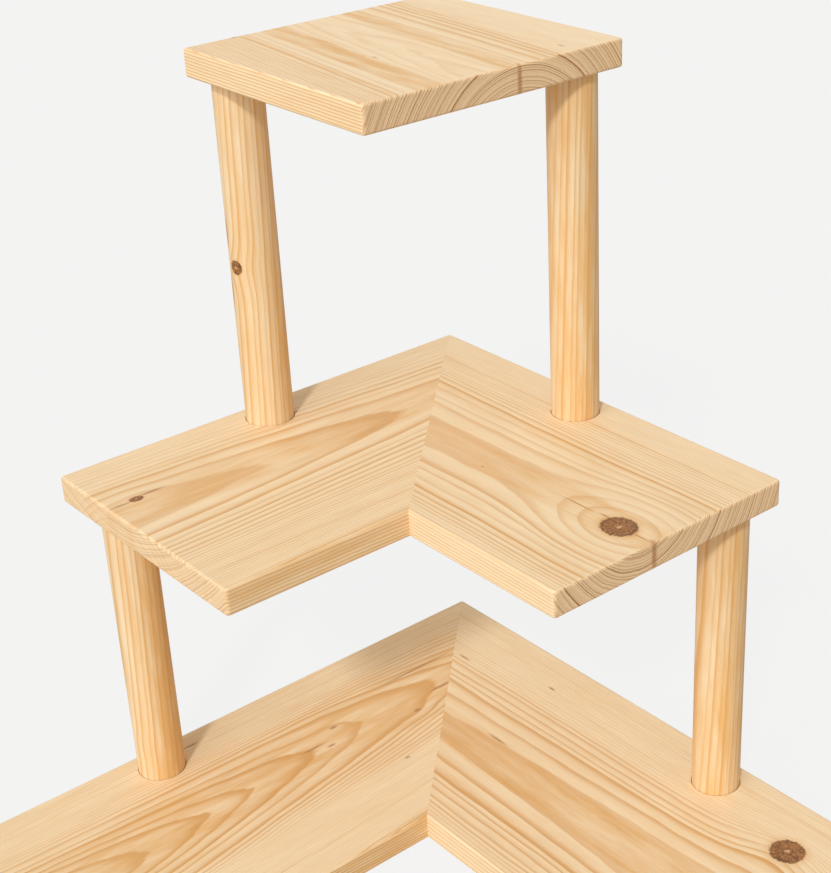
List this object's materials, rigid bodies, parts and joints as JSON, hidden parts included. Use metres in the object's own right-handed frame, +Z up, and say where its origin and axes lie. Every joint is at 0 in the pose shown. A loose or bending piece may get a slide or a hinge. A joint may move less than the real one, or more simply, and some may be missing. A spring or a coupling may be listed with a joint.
{
  "type": "tiered plant stand",
  "caption": "Stepped corner plant stand: two mitred L-shaped shelves and a square top board in solid pine, each carried on round posts.",
  "frame": {"origin": "on the floor, at the middle of the bottom shelf's square footprint", "axes": "+Z up; the left arms run from the outer back corner along -Y and the right arms along +X"},
  "size_m": [0.474, 0.474, 0.525],
  "materials": {
    "pine_boards": "planed and sanded pine, matt clear finish",
    "pine_posts": "turned and sanded pine, matt clear finish",
    "zinc_plated_steel": "bright zinc plate",
    "beech": "pressed, unfinished"
  },
  "bodies": {
    "root": {"bottom_shelf_left": "pine_boards", "bottom_shelf_right": "pine_boards", "middle_shelf_left": "pine_boards", "middle_shelf_right": "pine_boards", "top_board": "pine_boards", "upper_post_left": "pine_posts", "upper_post_right": "pine_posts", "lower_post_left": "pine_posts", "lower_post_right": "pine_posts", "foot_screws": "zinc_plated_steel", "hanger_bolts": "zinc_plated_steel", "insert_nuts": "zinc_plated_steel", "mitre_biscuits": "beech"}
  },
  "joints": []
}
